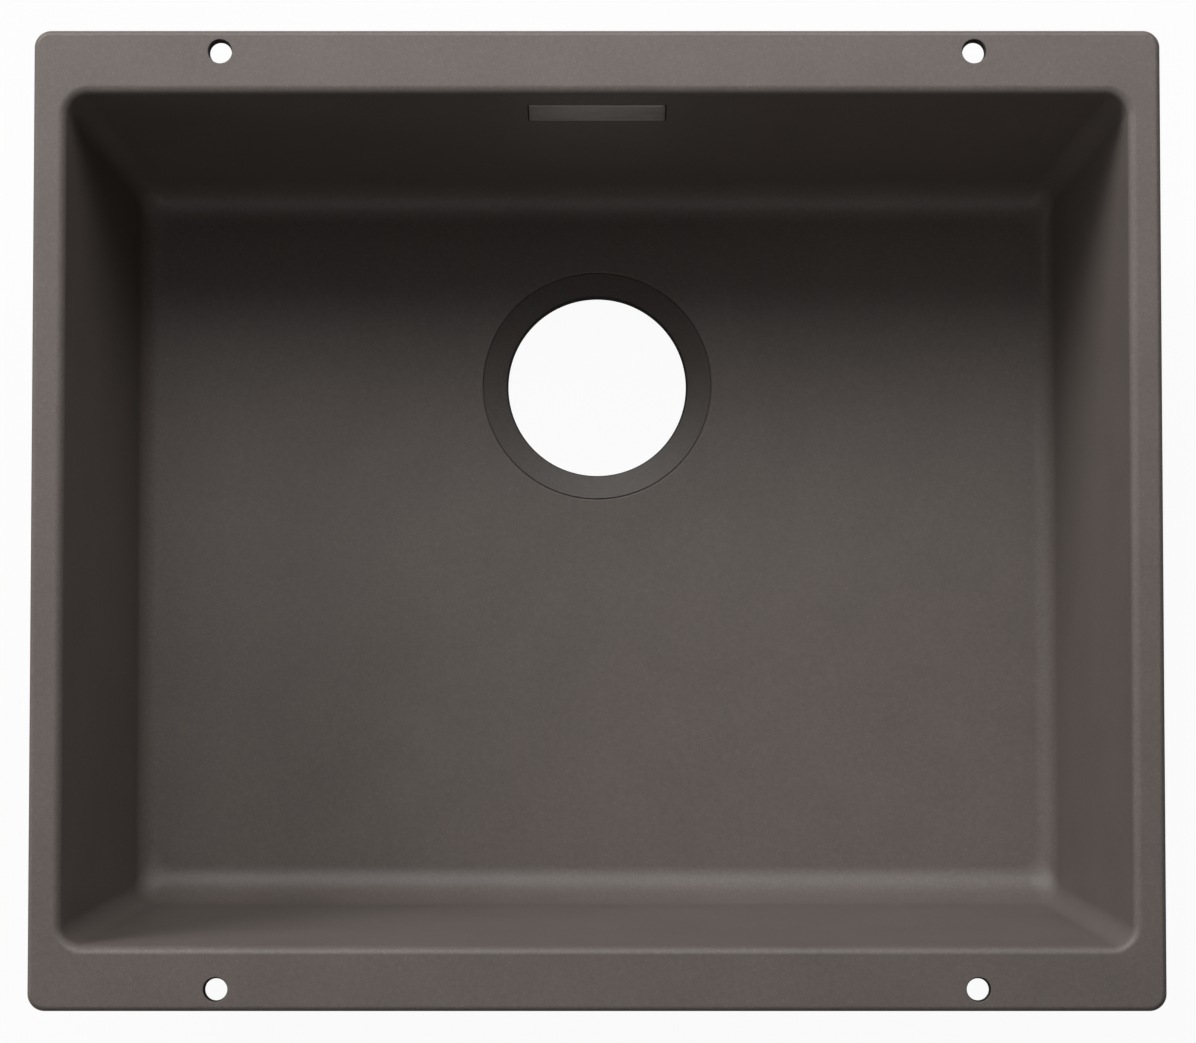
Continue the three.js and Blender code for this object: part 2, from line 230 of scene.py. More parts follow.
def rimRings():
    # round the rim's outer edge, from underneath to the top
    look = bowlLook
    low, high, steps = look["bottomRoll"], look["topRoll"], look["rollSteps"]
    edge = arc((low, rimBottom + low), low, 270, 180, steps)
    edge += arc((high, rimTop - high), high, 180, 90, steps)
    return [(z, bowlHigh.x - inset, bowlHigh.y - inset, look["rimRadius"] - inset) for inset, z in edge]


def bowlShell():
    look = bowlLook
    outer = basinRings(look["wall"], 0, rimBottom, look["underRimFillet"])
    inner = basinRings(0, floorTop, rimTop, look["openingRoll"])
    rings = []
    for z, halfLength, halfDepth, radius in outer + rimRings() + inner[::-1]:
        points = cornerPoints(halfLength, halfDepth, radius, look["cornerSteps"])
        rings.append([(x, y, z) for x, y in points])
    return linkObject(ringedMesh("bowlMoulding", rings))


def holeProfile(bottom, top, bottomRadius, topRadius, edge, steps):
    # a hole right through, in section, with a rounded edge at each end
    below, above = bottomRadius + edge, topRadius + edge
    profile = [(0, bottom - past), (below, bottom - past)]
    profile += arc((below, bottom + edge), edge, 270, 180, steps)
    profile += arc((above, top - edge), edge, 180, 90, steps)
    return profile + [(above, top + past), (0, top + past)]


fixingHoleLook = {"spacingX": 355, "spacingY": 440, "topRadius": 5.65, "bottomRadius": 5.1,
                  "edge": 0.4, "edgeSteps": 4, "segments": 48}


def cutFixingHoles(bowl):
    look = fixingHoleLook
    profile = holeProfile(rimBottom, rimTop, look["bottomRadius"], look["topRadius"], look["edge"],
                          look["edgeSteps"])
    for x in (-look["spacingX"] / 2, look["spacingX"] / 2):
        for y in (-look["spacingY"] / 2, look["spacingY"] / 2):
            boolean(bowl, turned("hole", profile, (x, y, 0), look["segments"]))


drainLook = {"fromBack": 120, "radius": 45, "taper": 0.5, "seatWidth": 12.5, "seatStep": 0.7,
             "seatFall": 2.3, "grooveWidth": 0.45, "grooveDepth": 0.8, "seatEdge": 0.8, "mouth": 0.25,
             "mouthEnd": 98, "mouthBand": 0.3, "lowerMouth": 0.4, "nutSeatWidth": 16, "nutSeatDepth": 1,
             "segments": 160}
drainY = bowlLook["openingDepth"] / 2 - drainLook["fromBack"]


def cutDrain(bowl):
    # a shallow dished seat with a fine groove round it, a rounded mouth, and a seat underneath
    look = drainLook
    radius, mouth, lower, edge = look["radius"], look["mouth"], look["lowerMouth"], look["seatEdge"]
    nutSeat = (radius + look["nutSeatWidth"], look["nutSeatDepth"])
    seatRadius, seatOuter = radius + look["seatWidth"], floorTop - look["seatStep"]
    grooveInner, grooveFloor = seatRadius - look["grooveWidth"], seatOuter - look["grooveDepth"]
    profile = [(0, -past), (nutSeat[0], -past), nutSeat]
    profile += arc((radius + lower, nutSeat[1] + lower), lower, 270, 180)
    profile += arc((radius + look["taper"] + mouth, seatOuter - look["seatFall"] - mouth), mouth,
                   180, look["mouthEnd"])
    (mouthRadius, mouthTop), band = profile[-1], look["mouthBand"]
    rise = (seatOuter - mouthTop) * band / (grooveInner - mouthRadius)
    profile += [(mouthRadius + band, mouthTop + rise), (grooveInner, seatOuter)]
    profile += [(grooveInner, grooveFloor), (seatRadius, grooveFloor)]
    profile += arc((seatRadius + edge, floorTop - edge), edge, 180, 90)
    profile += [(seatRadius + edge, floorTop + past), (0, floorTop + past)]
    boolean(bowl, turned("drainCut", profile, (0, drainY, 0), look["segments"]))


# The overflow has a frame of its own: its origin is in the middle of the cover, with +Y through
# the wall to the back and +Z up along the wall
coverLow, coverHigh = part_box("overflow_cover")
overflowPlace = Matrix.Translation((coverLow + coverHigh) / 2) @ Matrix.Rotation(-draft, 4, "X")
overflowInverse = overflowPlace.inverted()


def localBox(node):
    # a node's lowest and highest corners in the overflow's own frame
    places = [overflowInverse @ v.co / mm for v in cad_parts[node].data.vertices]
    low = Vector(min(p[i] for p in places) for i in range(3))
    high = Vector(max(p[i] for p in places) for i in range(3))
    return low, high


def placeInWall(mesh):
    mesh.transform(overflowPlace)
    return mesh


def panelRings(halfLength, halfHeight, radius, levels, steps=8, lift=0):
    # rings of a plate that lies along X and Z; each level is (place along Y, how far in)
    rings = []
    for y, inset in levels:
        corner = max(radius - inset, leastRadius)
        points = cornerPoints(halfLength - inset, halfHeight - inset, corner, steps)
        rings.append([(x, y, z + lift) for x, z in points])
    return rings


def roundedLevels(front, rear, edge, steps=3):
    # the levels of a plate whose front and rear outlines are rounded off by edge
    levels = arc((front + edge, edge), edge, 180, 270, steps)
    return levels + [(front + rear - y, inset) for y, inset in reversed(levels)]


pocketLook = {"coverProud": 0.4, "fit": 0.3, "sideGap": 0.4, "inletGap": 2.5, "edge": 0.6, "edgeSteps": 4,
              "radius": 1.4, "ledge": 3, "throatRadius": 2, "padMargin": 3, "padRadius": 8,
              "padEdge": 0.8, "padRoot": 5}
coverBottom, coverTop = localBox("overflow_cover")
frameBottom, frameTop = localBox("overflow_frame")
gasketBottom, gasketTop = localBox("overflow_gasket")
housingBottom, housingTop = localBox("overflow_housing")
wallFace = coverBottom.y + pocketLook["coverProud"]
pocketLedge = frameTop.y + pocketLook["fit"]
padRear = gasketBottom.y - pocketLook["fit"]
throatX, throatZ = frameTop.x - pocketLook["ledge"], frameTop.z - pocketLook["ledge"]


def cutOverflowPocket(bowl):
    # a pad behind the wall, a pocket in its face for cover and frame, and a throat through both
    look = pocketLook
    edge, gap, inlet = look["edge"], look["sideGap"], look["inletGap"]
    pad = panelRings(housingTop.x + look["padMargin"], housingTop.z + look["padMargin"], look["padRadius"],
                     [(padRear - look["padRoot"], 0), (padRear - look["padEdge"], 0),
                      (padRear, look["padEdge"])])
    boolean(bowl, placeInWall(ringedMesh("pad", pad)), "UNION")
    levels = [(wallFace - past, -edge), *arc((wallFace + edge, -edge), edge, 180, 90, look["edgeSteps"]),
              (pocketLedge, 0)]
    pocket = panelRings(coverTop.x + gap, coverTop.z + (gap + inlet) / 2, look["radius"], levels,
                        lift=(gap - inlet) / 2)
    boolean(bowl, placeInWall(ringedMesh("pocket", pocket)))
    throat = panelRings(throatX, throatZ, look["throatRadius"],
                        [(pocketLedge - past, 0), (padRear + past, 0)])
    boolean(bowl, placeInWall(ringedMesh("throat", throat)))


markLook = {"mouthMargin": 0.1, "holeMargin": 0.05}


def markBowl(bowl):
    # masks: the outside and the ground seat round the drain for the finish, and the bored holes' walls for
    # their roughness and for a painted shade
    look, halfWall = bowlLook, bowlLook["wall"] / 2
    mouthEdge = drainLook["radius"] + drainLook["taper"] + drainLook["mouth"] + markLook["mouthMargin"]
    seatOuter = drainLook["radius"] + drainLook["seatWidth"] - drainLook["grooveWidth"] / 2
    holeX, holeY = fixingHoleLook["spacingX"] / 2, fixingHoleLook["spacingY"] / 2
    holeEdge = fixingHoleLook["topRadius"] + markLook["holeMargin"]
    masks = {"outside": [], "ground": [], "bored": []}
    for vertex in bowl.data.vertices:
        x, y, z = vertex.co / mm
        level = max(z, floorTop)
        sideLine = look["openingLength"] / 2 - wallInset(level, floorTop, look["sideFillet"])
        endLine = look["openingDepth"] / 2 - wallInset(level, floorTop, look["endFillet"])
        beyond = abs(x) > sideLine + halfWall or abs(y) > endLine + halfWall
        underRim = z < rimTop - look["rimThickness"] / 2
        masks["outside"].append(z < floorTop / 2 or (beyond and underRim))
        fromDrain = math.hypot(x, y - drainY)
        masks["ground"].append(mouthEdge < fromDrain < seatOuter and z > floorTop / 2)
        fromHole = math.hypot(abs(x) - holeX, abs(y) - holeY)
        masks["bored"].append(fromDrain < mouthEdge or fromHole < holeEdge)
    for name, marked in masks.items():
        mask = bowl.data.attributes.new(name, "FLOAT", "POINT")
        mask.data.foreach_set("value", [float(value) for value in marked])


bowl = bowlShell()
cutFixingHoles(bowl)
cutDrain(bowl)
cutOverflowPocket(bowl)
settle(bowl)
markBowl(bowl)
print("bowl made:", len(bowl.data.polygons), "faces")


coverLook = {"edge": 0.25, "radius": 1, "cornerSteps": 6}


def makeCover():
    look = coverLook
    levels = roundedLevels(coverBottom.y, coverTop.y, look["edge"])
    rings = panelRings(coverTop.x, coverTop.z, look["radius"], levels, look["cornerSteps"])
    return settle(linkObject(placeInWall(ringedMesh("overflowCoverPlate", rings))))


clipLook = {"sheet": 0.6, "bend": 0.9, "edge": 0.15, "curl": 2.2, "curlTurn": 35, "bendSteps": 8,
            "curlSteps": 5, "edgeSteps": 3}


def clipPath(low, high):
    # the middle line of the sheet in Y and Z: in along the upper leg, down the base, out again
    look = clipLook
    halfSheet, bend, curl = look["sheet"] / 2, look["bend"], look["curl"]
    half, base = high.z - halfSheet, low.y + halfSheet
    curlStart = high.y - (curl + halfSheet) * math.sin(math.radians(look["curlTurn"]))
    upper = arc((curlStart, half - curl), curl, 90 - look["curlTurn"], 90, look["curlSteps"])
    upper += arc((base + bend, half - bend), bend, 90, 180, look["bendSteps"])
    return upper + [(y, -z) for y, z in reversed(upper)]


def makeClip(name, node):
    # spring sheet bent to a U, with its ends curled in to lead them through the window
    look = clipLook
    low, high = localBox(node)
    path = clipPath(low, high)
    middle, halfWidth = (low.x + high.x) / 2, (high.x - low.x) / 2
    section = cornerPoints(halfWidth, look["sheet"] / 2, look["edge"], look["edgeSteps"])
    rings = []
    for (y, z), before, after in zip(path, path[:1] + path, path[1:] + path[-1:]):
        along = Vector((after[0] - before[0], after[1] - before[1])).normalized()
        rings.append([(middle + across, y - along.y * out, z + along.x * out) for across, out in section])
    return settle(linkObject(placeInWall(ringedMesh(name, rings))))


screwLook = {"radius": 2, "headRadius": 3.8, "headSide": 0.8, "headEdge": 0.2, "domeSteps": 8,
             "pitch": 0.7, "threadDepth": 0.38, "threadFlank": 2.4, "threadFrom": 8, "ringsPerPitch": 8,
             "segments": 32, "crossLength": 4.4, "crossWidth": 0.9, "crossDepth": 1.2, "point": 1}
frameLook = {"windowBar": 12, "windowEdge": 5.5, "radius": 2, "edge": 0.2, "edgeSteps": 3, "holeGap": 0.3,
             "holeSegments": 40}
screwPlaces = [sum(corner.x for corner in localBox("overflow_screw_" + side)) / 2
               for side in ("left", "right")]


def makeFrame():
    # a flat steel frame, screwed to the ledge behind the cover
    look = frameLook
    window = (throatX - look["windowBar"], frameTop.z - look["windowEdge"], look["radius"])
    levels = roundedLevels(frameBottom.y, frameTop.y, look["edge"])
    windowLevels = [(y, -inset) for y, inset in reversed(levels)]
    rings = panelRings(frameTop.x, frameTop.z, look["radius"], levels) + panelRings(*window, windowLevels)
    piece = linkObject(ringedMesh("overflowFramePlate", rings, closed=True))
    radius = screwLook["radius"] + look["holeGap"]
    profile = holeProfile(frameBottom.y, frameTop.y, radius, radius, look["edge"], look["edgeSteps"])
    for x in screwPlaces:
        boolean(piece, turned("hole", profile, (x, 0, 0), look["holeSegments"], "Y"))
    placeInWall(piece.data)
    return settle(piece)


def addNode(tree, kind, inputs, **settings):
    # one node's outputs; each of its inputs takes another node's output or a plain value
    made = tree.nodes.new(kind)
    for setting, value in settings.items():
        setattr(made, setting, value)
    for socket, value in inputs.items():
        if isinstance(value, bpy.types.NodeSocket):
            tree.links.new(value, made.inputs[socket])
        else:
            made.inputs[socket].default_value = value
    return made.outputs


def arithmetic(tree, operation, a, b=0.0, c=0.0):
    return addNode(tree, "ShaderNodeMath", {0: a, 1: b, 2: c}, operation=operation)[0]


def product(tree, first, *others):
    for other in others:
        first = arithmetic(tree, "MULTIPLY", first, other)
    return first


def combined(tree, **parts):
    # a vector from its X, Y and Z
    return addNode(tree, "ShaderNodeCombineXYZ", parts)[0]


def newTree(name, sizes):
    # an empty geometry tree with one named input for each size
    tree = bpy.data.node_groups.new(name, "GeometryNodeTree")
    tree.interface.new_socket("Geometry", in_out="INPUT", socket_type="NodeSocketGeometry")
    for size in sizes:
        tree.interface.new_socket(size, in_out="INPUT", socket_type="NodeSocketFloat")
    tree.interface.new_socket("Finish", in_out="INPUT", socket_type="NodeSocketMaterial")
    tree.interface.new_socket("Geometry", in_out="OUTPUT", socket_type="NodeSocketGeometry")
    return tree, addNode(tree, "NodeGroupInput", {})


def closeTree(tree, given, shape):
    # every tree ends in plain geometry with its finish on
    plain = addNode(tree, "GeometryNodeRealizeInstances", {"Geometry": shape})[0]
    finished = addNode(tree, "GeometryNodeSetMaterial", {"Geometry": plain, "Material": given["Finish"]})[0]
    addNode(tree, "NodeGroupOutput", {0: finished})
    return tree


def grown(mesh, tree, lengths, others):
    # a piece that a geometry tree makes from a mesh; others are the inputs that aren't lengths
    piece = linkObject(mesh)
    step = piece.modifiers.new("grow", "NODES")
    step.node_group = tree
    values = others | {name: length * mm for name, length in lengths.items()}
    for socket in tree.interface.items_tree:
        if socket.in_out == "INPUT" and socket.name in values:
            step[socket.identifier] = values[socket.name]
    bakeModifiers(piece)
    return piece


sameRadius = 0.01  # points this near to a radius are on it
axisRadius = 0.001  # points this near to the axis don't move


def aroundY(tree, given):
    # where a point lies on a piece turned round Y: angle in turns, radius, place along, and X and Z
    parts = addNode(tree, "ShaderNodeSeparateXYZ", {0: addNode(tree, "GeometryNodeInputPosition", {})[0]})
    across, up = arithmetic(tree, "SUBTRACT", parts["X"], given["Middle"]), parts["Z"]
    turns = arithmetic(tree, "DIVIDE", arithmetic(tree, "ARCTAN2", up, across), 2 * math.pi)
    squares = arithmetic(tree, "MULTIPLY_ADD", up, up, arithmetic(tree, "MULTIPLY", across, across))
    return turns, arithmetic(tree, "SQRT", squares), parts["Y"], across, up


def shrink(tree, shape, amount, radius, across, up):
    # moves points towards the axis by an amount
    share = arithmetic(tree, "DIVIDE", amount, arithmetic(tree, "MAXIMUM", radius, axisRadius * mm))
    share = arithmetic(tree, "MULTIPLY", share, -1.0)
    move = combined(tree, X=product(tree, across, share), Z=product(tree, up, share))
    return addNode(tree, "GeometryNodeSetPosition", {"Geometry": shape, "Offset": move})[0]


def screwTree():
    # winds a thread into the shank, and cuts a cross in the head
    tree, given = newTree("machineScrew", ["Middle", "Pitch", "Thread Depth", "Thread Start",
                                           "Thread End", "Shank Radius", "Head Front", "Cross Length",
                                           "Cross Width", "Cross Depth"])
    turns, radius, along, across, up = aroundY(tree, given)
    wound = arithmetic(tree, "SUBTRACT", arithmetic(tree, "DIVIDE", along, given["Pitch"]), turns)
    tooth = arithmetic(tree, "PINGPONG", wound, 0.5)  # 0 at the crest, 0.5 at the root
    root = arithmetic(tree, "MINIMUM", product(tree, tooth, screwLook["threadFlank"]), 1.0)
    lead = arithmetic(tree, "SUBTRACT", along, given["Thread Start"])
    trail = arithmetic(tree, "SUBTRACT", given["Thread End"], along)
    ends = arithmetic(tree, "DIVIDE", arithmetic(tree, "MINIMUM", lead, trail), given["Pitch"])
    ends = arithmetic(tree, "MINIMUM", arithmetic(tree, "MAXIMUM", ends, 0.0), 1.0)
    onShank = arithmetic(tree, "COMPARE", radius, given["Shank Radius"], sameRadius * mm)
    amount = product(tree, onShank, given["Thread Depth"], root, ends)
    threaded = shrink(tree, given["Geometry"], amount, radius, across, up)

    # a block's middle is on the head's front, so it is twice as deep as its cut
    size = combined(tree, X=given["Cross Length"], Y=product(tree, given["Cross Depth"], 2.0),
                    Z=given["Cross Width"])
    slot = addNode(tree, "GeometryNodeMeshCube", {"Size": size})["Mesh"]
    place = combined(tree, X=given["Middle"], Y=given["Head Front"])
    points = addNode(tree, "GeometryNodePoints", {"Count": 2, "Position": place})[0]
    index = addNode(tree, "GeometryNodeInputIndex", {})[0]
    turn = combined(tree, Y=product(tree, index, math.pi / 2))
    slots = addNode(tree, "GeometryNodeInstanceOnPoints", {"Points": points, "Instance": slot,
                                                           "Rotation": turn})[0]
    cross = addNode(tree, "GeometryNodeMeshBoolean", {0: threaded, 1: slots, "Self Intersection": True},
                    operation="DIFFERENCE", solver="EXACT")
    return closeTree(tree, given, cross["Mesh"])


def makeScrew(name, node, tree, finish):
    look = screwLook
    low, high = localBox(node)
    middle, radius, headRadius = (low.x + high.x) / 2, look["radius"], look["headRadius"]
    headRear, edge = frameBottom.y - pocketLook["fit"], look["headEdge"]
    dome = headRear - look["headSide"] - low.y
    profile = [(headRadius * math.sin(turn), low.y + dome * (1 - math.cos(turn)))
               for turn in sweep(0, math.pi / 2, look["domeSteps"])]
    profile += [(headRadius, headRear - edge), (headRadius - edge, headRear)]
    shank = high.y - look["point"] - headRear
    rings = round(shank / look["pitch"] * look["ringsPerPitch"])
    profile += [(radius, headRear + step) for step in sweep(0, shank, rings)]
    profile += [(radius / 2, high.y), (0, high.y)]
    mesh = turned(name, profile, (middle, 0, 0), look["segments"], "Y")
    piece = grown(mesh, tree, {
        "Middle": middle, "Pitch": look["pitch"], "Thread Depth": look["threadDepth"],
        "Thread Start": low.y + look["threadFrom"], "Thread End": high.y, "Shank Radius": radius,
        "Head Front": low.y, "Cross Length": look["crossLength"], "Cross Width": look["crossWidth"],
        "Cross Depth": look["crossDepth"]}, {"Finish": finish})
    placeInWall(piece.data)
    return settle(piece, sharpAngle=40)


insertLook = {"bore": 2.3, "edge": 0.4, "knurls": 20.0, "knurlDepth": 0.3, "knurlPitch": 2,
              "knurlFlank": 4.0, "knurlMargin": 0.8, "segments": 120, "rings": 30}


def insertTree():
    # presses a diamond knurl into the insert's outside, with a plain band at each end
    tree, given = newTree("knurledInsert", ["Middle", "Knurls", "Knurl Depth", "Knurl Pitch",
                                            "Knurl Start", "Knurl End", "Outer Radius"])
    turns, radius, along, across, up = aroundY(tree, given)
    around = arithmetic(tree, "MULTIPLY", turns, given["Knurls"])
    forward = arithmetic(tree, "DIVIDE", along, given["Knurl Pitch"])
    leftHand = arithmetic(tree, "PINGPONG", arithmetic(tree, "ADD", around, forward), 0.5)
    rightHand = arithmetic(tree, "PINGPONG", arithmetic(tree, "SUBTRACT", around, forward), 0.5)
    nearest = arithmetic(tree, "MINIMUM", leftHand, rightHand)
    groove = arithmetic(tree, "SUBTRACT", 1.0, product(tree, nearest, insertLook["knurlFlank"]))
    amount = product(tree, arithmetic(tree, "MAXIMUM", groove, 0.0), given["Knurl Depth"],
                     arithmetic(tree, "GREATER_THAN", along, given["Knurl Start"]),
                     arithmetic(tree, "LESS_THAN", along, given["Knurl End"]),
                     arithmetic(tree, "COMPARE", radius, given["Outer Radius"], sameRadius * mm))
    return closeTree(tree, given, shrink(tree, given["Geometry"], amount, radius, across, up))


def makeInsert(name, node, tree, finish):
    look = insertLook
    low, high = localBox(node)
    middle, radius = (low.x + high.x) / 2, (high.x - low.x) / 2
    bore, edge = look["bore"], look["edge"]
    length = high.y - low.y - 2 * edge
    profile = [(bore, low.y + edge), (bore + edge, low.y), (radius - edge, low.y)]
    profile += [(radius, low.y + edge + step) for step in sweep(0, length, look["rings"])]
    profile += [(radius - edge, high.y), (bore + edge, high.y), (bore, high.y - edge)]
    turns = sweep(0, 2 * math.pi, look["segments"])[:-1]
    rings = [[(middle + across * math.cos(turn), along, across * math.sin(turn)) for turn in turns]
             for across, along in profile]
    piece = grown(ringedMesh(name, rings, closed=True), tree, {
        "Middle": middle, "Knurl Depth": look["knurlDepth"], "Knurl Pitch": look["knurlPitch"],
        "Knurl Start": low.y + look["knurlMargin"], "Knurl End": high.y - look["knurlMargin"],
        "Outer Radius": radius}, {"Knurls": look["knurls"], "Finish": finish})
    placeInWall(piece.data)
    return settle(piece, sharpAngle=25)


gasketLook = {"radius": 4, "windowRadius": 2, "windowGap": 0.5, "edge": 0.3, "edgeShare": 0.3,
              "bead": 0.25, "beadPlaces": (0.28, 0.68), "beadWidth": 0.09, "beadPower": 4, "faceSteps": 40}


def makeGasket():
    # a flat rubber ring with two raised beads on each face
    look = gasketLook
    outer = (gasketTop.x, gasketTop.z, look["radius"])
    window = (throatX + look["windowGap"], throatZ + look["windowGap"], look["windowRadius"])
    front, rear, edge = gasketBottom.y, gasketTop.y, look["edge"]
    middle, halfBody = (front + rear) / 2, (rear - front) / 2 - look["bead"]
    outlines = []
    for share in sweep(0, 1, look["faceSteps"]):
        rise = sum(math.exp(-((share - place) / look["beadWidth"]) ** look["beadPower"])
                   for place in look["beadPlaces"])
        inside = share * (1 - share) * 4  # 0 at both edges, 1 half way
        fall = edge * max(0, 1 - inside / look["edgeShare"]) ** 2
        outlines.append((share, halfBody + look["bead"] * rise - fall))
    rings = []
    for side, faceOutlines in ((-1, outlines), (1, outlines[::-1])):
        for share, out in faceOutlines:
            halfLength, halfHeight, radius = (a + (b - a) * share for a, b in zip(outer, window))
            rings += panelRings(halfLength, halfHeight, radius, [(middle + side * out, 0)])
    return settle(linkObject(placeInWall(ringedMesh("overflowGasketRing", rings, closed=True))))


housingLook = {
    "flange": 2.5, "flangeRadius": 5, "flangeEdge": 0.5, "wall": 2, "chamberLength": 38,
    "chamberTop": 10, "mouthStep": 0.2, "mouthRadius": 2, "boxSet": 0.6, "boxEdge": 2.2,
    "chamberEdge": 1, "bossRadius": 5, "bossEdge": 1, "bossRoot": 1, "insertBore": 3.8, "bossFloor": 2,
    "outletRadius": 9, "outletBore": 7, "outletEdge": 0.4, "outletLength": 24, "barbs": 3,
    "barbHeight": 0.8, "barbPitch": 5, "barbTip": 0.25, "collarRise": 1, "segments": 72,
    "ribs": 5.0, "ribSpacing": 8, "ribThickness": 1.4, "ribReach": 9, "ribTipReach": 2.7,
    "ribEdge": 0.3, "ribRoot": 0.5, "ribBelow": 1,
}


def spigotProfile(bottom):
    # the hose outlet in section: barbs that point up, then a plain neck with a fillet at the box
    look = housingLook
    neck, tip, rise = look["outletRadius"] - look["barbHeight"], look["barbTip"], look["collarRise"]
    end, inBox = bottom - look["outletLength"], bottom + look["wall"] / 2
    profile = [(0, end), (neck - tip, end), (neck, end + tip)]
    for i in range(look["barbs"]):
        top = end + (i + 1) * look["barbPitch"]
        profile += [(look["outletRadius"], top - tip), (look["outletRadius"] - tip / 2, top), (neck, top)]
    profile += arc((neck + rise, bottom - rise), rise, 180, 90)
    return profile + [(neck + rise, inBox), (0, inBox)]


def ribTree():
    # repeats one rib along X
    tree, given = newTree("housingRibs", ["Count", "Spacing"])
    offset = combined(tree, X=given["Spacing"])
    line = addNode(tree, "GeometryNodeMeshLine", {"Count": given["Count"], "Offset": offset},
                   mode="OFFSET")[0]
    copies = addNode(tree, "GeometryNodeInstanceOnPoints", {"Points": line, "Instance": given["Geometry"]})
    return closeTree(tree, given, copies[0])


def ribMesh(x, wallY, root, tip):
    # a web that stands on the flange's rear and leans on the box
    look = housingLook
    half, edge, far, near = look["ribThickness"] / 2, look["ribEdge"], look["ribReach"], look["ribTipReach"]
    hidden, below = wallY - look["ribRoot"], root - look["ribBelow"]
    rings = []
    for side, inset in ((-half, edge), (-half + edge, 0), (half - edge, 0), (half, edge)):
        corners = [(hidden, below), (wallY + far - inset, below), (wallY + far - inset, root - inset),
                   (wallY + near - inset, tip - inset), (hidden, tip - inset)]
        rings.append([(x + side, y, z) for y, z in corners])
    return ringedMesh("rib", rings)


def makeHousing(tree, finish):
    # flange, chamber box, screw bosses, ribs and hose outlet in one moulding
    look = housingLook
    wall, segments = look["wall"], look["segments"]
    front, rear = housingBottom.y, housingTop.y
    flangeRear, middleY = front + look["flange"], (front + rear) / 2
    chamberHalf, chamberTop = look["chamberLength"] / 2, look["chamberTop"]
    boxHalf, boxTop = chamberHalf + wall, chamberTop + wall
    boxBottom = housingBottom.z + look["outletLength"]
    flange = panelRings(housingTop.x, housingTop.z, look["flangeRadius"],
                        roundedLevels(front, flangeRear, look["flangeEdge"]))
    piece = linkObject(ringedMesh("overflowHousingBody", flange))
    boolean(piece, softBox("box", (-boxHalf, front + look["boxSet"], boxBottom), (boxHalf, rear, boxTop),
                           look["boxEdge"]), "UNION")

    pocketFloor = localBox("overflow_screw_left")[1].y + pocketLook["fit"]
    bossFront, bossRear = flangeRear - look["bossRoot"], pocketFloor + look["bossFloor"]
    edge = look["bossEdge"]
    boss = [(0, bossFront), (look["bossRadius"], bossFront)]
    boss += arc((look["bossRadius"] - edge, bossRear - edge), edge, 0, 90) + [(0, bossRear)]
    for x in screwPlaces:
        boolean(piece, turned("boss", boss, (x, 0, 0), segments, "Y"), "UNION")
    boolean(piece, turned("spigot", spigotProfile(boxBottom), (0, middleY, 0), segments), "UNION")

    firstRib = -look["ribSpacing"] * (look["ribs"] - 1) / 2
    ribs = grown(ribMesh(firstRib, flangeRear, boxTop, housingTop.z - look["flangeEdge"]), tree,
                 {"Spacing": look["ribSpacing"]}, {"Count": look["ribs"], "Finish": finish})
    boolean(piece, ribs.data, "UNION")
    bpy.data.objects.remove(ribs)

    boolean(piece, softBox("chamber", (-chamberHalf, flangeRear, boxBottom + wall),
                           (chamberHalf, rear - wall, chamberTop), look["chamberEdge"]))
    mouth = panelRings(chamberHalf - look["mouthStep"], chamberTop - look["mouthStep"], look["mouthRadius"],
                       [(front - past, 0), (flangeRear + past, 0)])
    boolean(piece, ringedMesh("mouth", mouth))
    end, edge, bore = housingBottom.z, look["outletEdge"], look["outletBore"]
    inside = boxBottom + wall + past
    outlet = [(0, end - past), (bore + edge, end - past), (bore + edge, end), (bore, end + edge),
              (bore, inside), (0, inside)]
    boolean(piece, turned("bore", outlet, (0, middleY, 0), segments))
    pocket = [(0, front - past), (look["insertBore"], front - past), (look["insertBore"], pocketFloor),
              (0, pocketFloor)]
    for x in screwPlaces:
        boolean(piece, turned("pocket", pocket, (x, 0, 0), segments, "Y"))
    placeInWall(piece.data)
    return settle(piece, sharpAngle=28)


# Materials: each starts from its plain colour and gets its grain, streaks or mottling from noise
# in the piece's own coordinates

def newMaterial(name, look):
    material = bpy.data.materials.new(name)
    material.use_nodes = True
    material.diffuse_color = (*look["color"], 1)
    shader = material.node_tree.nodes["Principled BSDF"]
    shader.inputs["Base Color"].default_value = (*look["color"], 1)
    shader.inputs["Roughness"].default_value = look["roughness"]
    shader.inputs["Metallic"].default_value = look.get("metallic", 0.0)
    shader.inputs["Specular IOR Level"].default_value = look.get("specular", 0.5)
    return material, material.node_tree, shader


def objectPlace(tree, scale=(1, 1, 1)):
    place = addNode(tree, "ShaderNodeTexCoord", {})["Object"]
    return addNode(tree, "ShaderNodeMapping", {"Vector": place, "Scale": scale})[0]


def noise(tree, place, scale, detail=2.0, roughness=0.5):
    return addNode(tree, "ShaderNodeTexNoise", {"Vector": place, "Scale": scale, "Detail": detail,
                                                "Roughness": roughness})["Fac"]


def spread(tree, value, fromLow, fromHigh, low, high):
    # maps a value from one range to another, and stops at its ends
    inputs = {0: value, 1: fromLow, 2: fromHigh, 3: low, 4: high}
    return addNode(tree, "ShaderNodeMapRange", inputs)["Result"]


def varied(tree, pattern, middle, amount, low=0.3, high=0.7):
    # swings a value about its middle; most of a noise lies between low and high
    return spread(tree, pattern, low, high, middle - amount, middle + amount)


def vectorMath(tree, operation, inputs):
    return addNode(tree, "ShaderNodeVectorMath", inputs, operation=operation)


